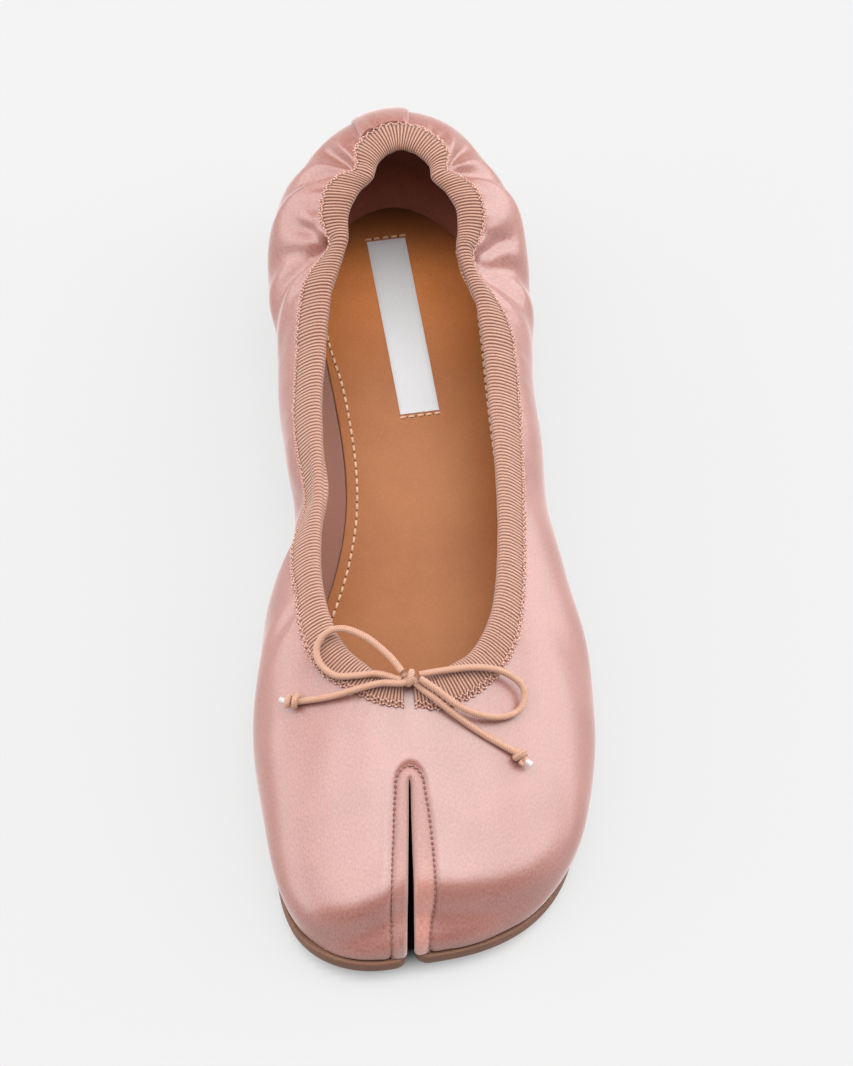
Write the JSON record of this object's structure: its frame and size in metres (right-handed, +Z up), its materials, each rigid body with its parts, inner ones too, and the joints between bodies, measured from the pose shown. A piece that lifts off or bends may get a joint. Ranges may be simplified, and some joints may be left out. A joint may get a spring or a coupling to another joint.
{
  "type": "ballet flat",
  "caption": "Soft satin ballet flat with a split toe: hollow upper open at a gathered elastic collar, thin leather sole with a low heel lift, and a small cord bow at the throat.",
  "frame": {"origin": "on the ground under the middle of the shoe's length and width", "axes": "+Z up, toe towards -Y, heel towards +Y, big toe side towards -X, little toe side towards +X"},
  "size_m": [0.0907, 0.2488, 0.0615],
  "materials": {
    "satin": "rose pink satin, soft sheen",
    "ribbon": "rose grosgrain ribbon, ribbed",
    "cord": "rose round elastic cord",
    "cord_tip": "clear sealed end",
    "insole_leather": "tan insole leather, matt",
    "label_tape": "plain silver grey woven tape",
    "sole_leather": "brown sole leather, matt",
    "lift_leather": "brown stacked lift, matt"
  },
  "bodies": {
    "root": {"outsole": "sole_leather", "heel_lift": "lift_leather", "insole": "insole_leather", "insole_label": "label_tape", "upper": "satin", "toe_gusset": "satin", "heel_tab": "satin", "collar_binding": "ribbon", "bow_knot": "cord", "bow_loop_medial": "cord", "bow_loop_lateral": "cord", "bow_tail_medial": "cord", "bow_tail_lateral": "cord", "tail_knot_medial": "cord", "tail_knot_lateral": "cord", "cord_tip_medial": "cord_tip", "cord_tip_lateral": "cord_tip"}
  },
  "joints": []
}
